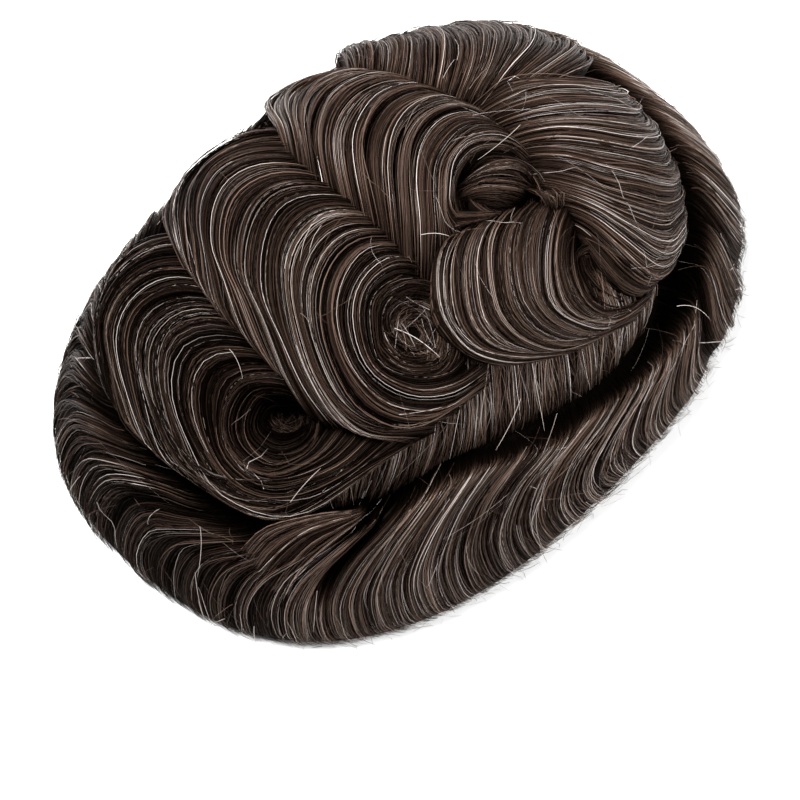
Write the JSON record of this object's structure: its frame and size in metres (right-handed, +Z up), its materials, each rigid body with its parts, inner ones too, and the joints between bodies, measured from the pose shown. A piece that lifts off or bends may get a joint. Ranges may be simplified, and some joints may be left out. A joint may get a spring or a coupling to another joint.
{
  "type": "toupee hairpiece",
  "caption": "Hairpiece worn on the top of the head: a thin curved base, open below, under waved and curled hair with a rolled edge that it rests on.",
  "frame": {"origin": "centre of the footprint, on the surface that the hairpiece rests on", "axes": "+Z up, out of the top of the head; -Y towards the front hairline; +X towards the wearer's left"},
  "size_m": [0.1814, 0.2486, 0.0922],
  "materials": {
    "hair": "soft satin strands",
    "base_net": "fine matte net"
  },
  "bodies": {
    "root": {"base_cap": "base_net", "front_curl": "hair", "middle_curl": "hair", "upper_curl": "hair", "crown_curl": "hair", "crown_sweep": "hair", "far_wave": "hair", "under_layer": "hair", "rim_front": "hair", "rim_near_front": "hair", "rim_near_back": "hair", "rim_back": "hair", "rim_far_side": "hair"}
  },
  "joints": []
}
